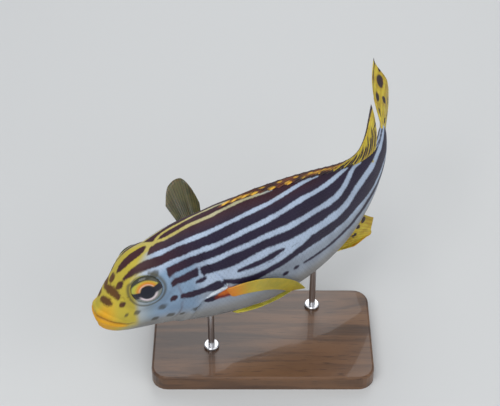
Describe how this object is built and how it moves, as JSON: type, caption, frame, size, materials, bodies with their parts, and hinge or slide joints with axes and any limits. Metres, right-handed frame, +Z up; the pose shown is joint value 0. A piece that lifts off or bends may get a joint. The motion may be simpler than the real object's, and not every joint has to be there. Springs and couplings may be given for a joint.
{
  "type": "oriental sweetlips fish model",
  "caption": "Life-size still model of an oriental sweetlips, a striped reef fish, in a swimming turn on a plain display stand.",
  "frame": {"origin": "centre of the underside of the stand's base, on the surface that the model stands on", "axes": "+Z up; the fish's snout points mainly to -X, its left side faces -Y, and its tail bends round towards +Y"},
  "size_m": [0.2584, 0.2718, 0.1808],
  "materials": {
    "skin": "striped dark purple-brown and pale blue-grey skin with fine scales, satin",
    "lips": "orange-yellow fleshy lips, satin",
    "fins": "yellow fin membrane with rays and black spots, satin",
    "eyes": "clear glossy cornea over a gold and dark iris with a black pupil",
    "stand_wood": "dark stained hardwood with a satin varnish",
    "stand_metal": "brushed"
  },
  "bodies": {
    "root": {"head": "skin", "torso": "skin", "tail": "skin", "upper_lip": "lips", "lower_lip": "lips", "eye_left": "eyes", "eye_right": "eyes", "dorsal_fin_spiny": "fins", "dorsal_fin_soft": "fins", "anal_fin": "fins", "caudal_fin": "fins", "pectoral_fin_left": "fins", "pectoral_fin_right": "fins", "pelvic_fin_left": "fins", "pelvic_fin_right": "fins", "stand_base": "stand_wood", "stand_rod_front": "stand_metal", "stand_rod_rear": "stand_metal"}
  },
  "joints": []
}
